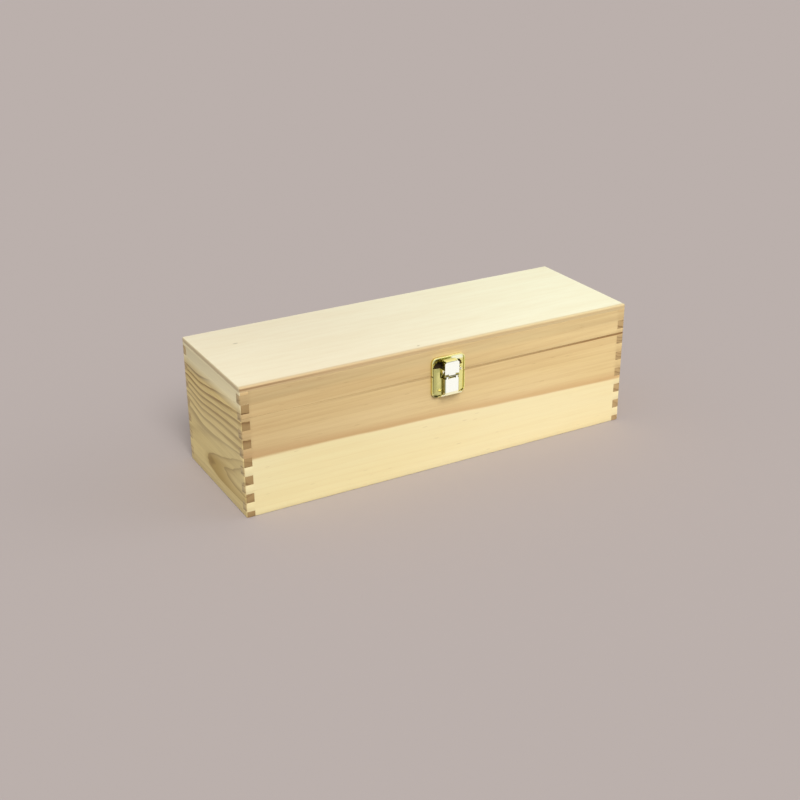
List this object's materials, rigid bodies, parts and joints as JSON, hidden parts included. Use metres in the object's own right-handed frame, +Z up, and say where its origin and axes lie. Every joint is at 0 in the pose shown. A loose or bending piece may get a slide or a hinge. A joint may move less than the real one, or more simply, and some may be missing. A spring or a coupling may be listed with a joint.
{
  "type": "wooden wine box",
  "caption": "Long pine box for a bottle, with finger-jointed corners, a hinged lid sawn from the same boards, and a brass-plated lever catch.",
  "frame": {"origin": "centre of the underside of the closed box, without its catch and hinges", "axes": "+X along the box, +Z up; the front with the catch looks towards -Y and the hinges are at +Y"},
  "size_m": [0.36, 0.1313, 0.11],
  "materials": {
    "front_boards": "bare sanded pine, tan heartwood above cream sapwood",
    "end_boards": "bare sanded pine with arched growth rings",
    "plywood": "bare sanded three-ply, pale face",
    "brass_plate": "bright brass plating on pressed steel",
    "brass_nails": "brass-plated steel"
  },
  "bodies": {
    "body": {"body_front_wall": "front_boards", "body_back_wall": "front_boards", "body_left_wall": "end_boards", "body_right_wall": "end_boards", "bottom_panel": "plywood", "hinge_left_body_leaf": "brass_plate", "hinge_right_body_leaf": "brass_plate", "hinge_left_pin": "brass_nails", "hinge_right_pin": "brass_nails", "hinge_body_nails": "brass_nails", "catch_base": "brass_plate", "catch_pivot_rivets": "brass_nails", "catch_base_nails": "brass_nails"},
    "lid": {"lid_front_rail": "front_boards", "lid_back_rail": "front_boards", "lid_left_rail": "end_boards", "lid_right_rail": "end_boards", "lid_top_panel": "plywood", "hinge_left_lid_leaf": "brass_plate", "hinge_right_lid_leaf": "brass_plate", "hinge_lid_nails": "brass_nails", "catch_keeper": "brass_plate", "catch_keeper_nails": "brass_nails"},
    "catch_lever": {"catch_lever": "brass_plate", "catch_link_pin": "brass_nails"},
    "catch_hook": {"catch_hook_plate": "brass_plate"}
  },
  "joints": [
    {"name": "lid_hinge", "type": "hinge", "parent": "body", "child": "lid", "pos_m": [0, 0.0618, 0.08415], "axis": [-1, 0, 0], "range_deg": [0, 180]},
    {"name": "catch_lever_pivot", "type": "hinge", "parent": "body", "child": "catch_lever", "pos_m": [0, -0.0669, 0.08915], "axis": [-1, 0, 0], "range_deg": [0, 100]},
    {"name": "catch_hook_link", "type": "hinge", "parent": "catch_lever", "child": "catch_hook", "pos_m": [0, -0.0669, 0.08415], "axis": [1, 0, 0], "range_deg": [0, 115]}
  ],
  "couplings": [
    {"joint": "catch_hook_link", "follows": "catch_lever_pivot", "ratio": 1.15}
  ]
}
